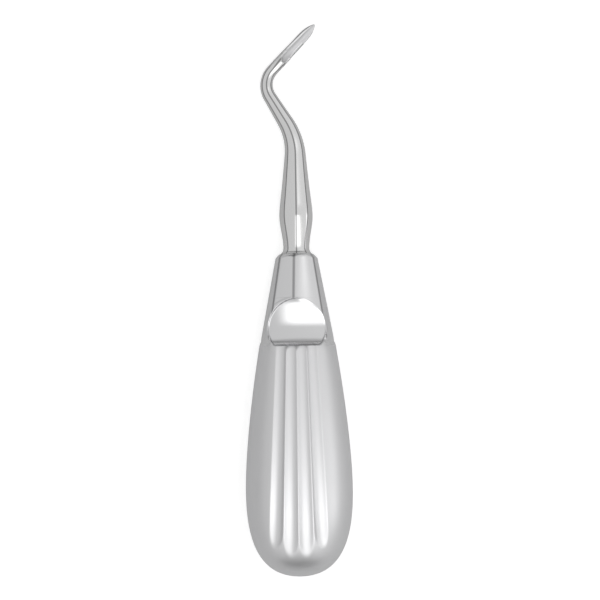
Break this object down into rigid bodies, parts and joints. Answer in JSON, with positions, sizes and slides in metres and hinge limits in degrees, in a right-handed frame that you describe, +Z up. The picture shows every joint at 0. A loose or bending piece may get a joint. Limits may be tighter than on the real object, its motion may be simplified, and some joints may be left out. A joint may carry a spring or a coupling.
{
  "type": "root elevator",
  "caption": "Steel root elevator with a pear-shaped fluted handle, a thumb rest and a slim twice-bent shank ending in a small pointed gouge.",
  "frame": {"origin": "on the tray the instrument lies on, under the middle of its box", "axes": "+Y from the butt of the handle towards the blade's tip, +Z up through the front of the handle with its thumb rest and flutes, +X to the right seen from above, the side the tip points to"},
  "size_m": [0.028, 0.1446, 0.024],
  "materials": {
    "handle_steel": "satin",
    "working_end_steel": "polished"
  },
  "bodies": {
    "root": {"handle": "handle_steel", "working_end": "working_end_steel"}
  },
  "joints": []
}
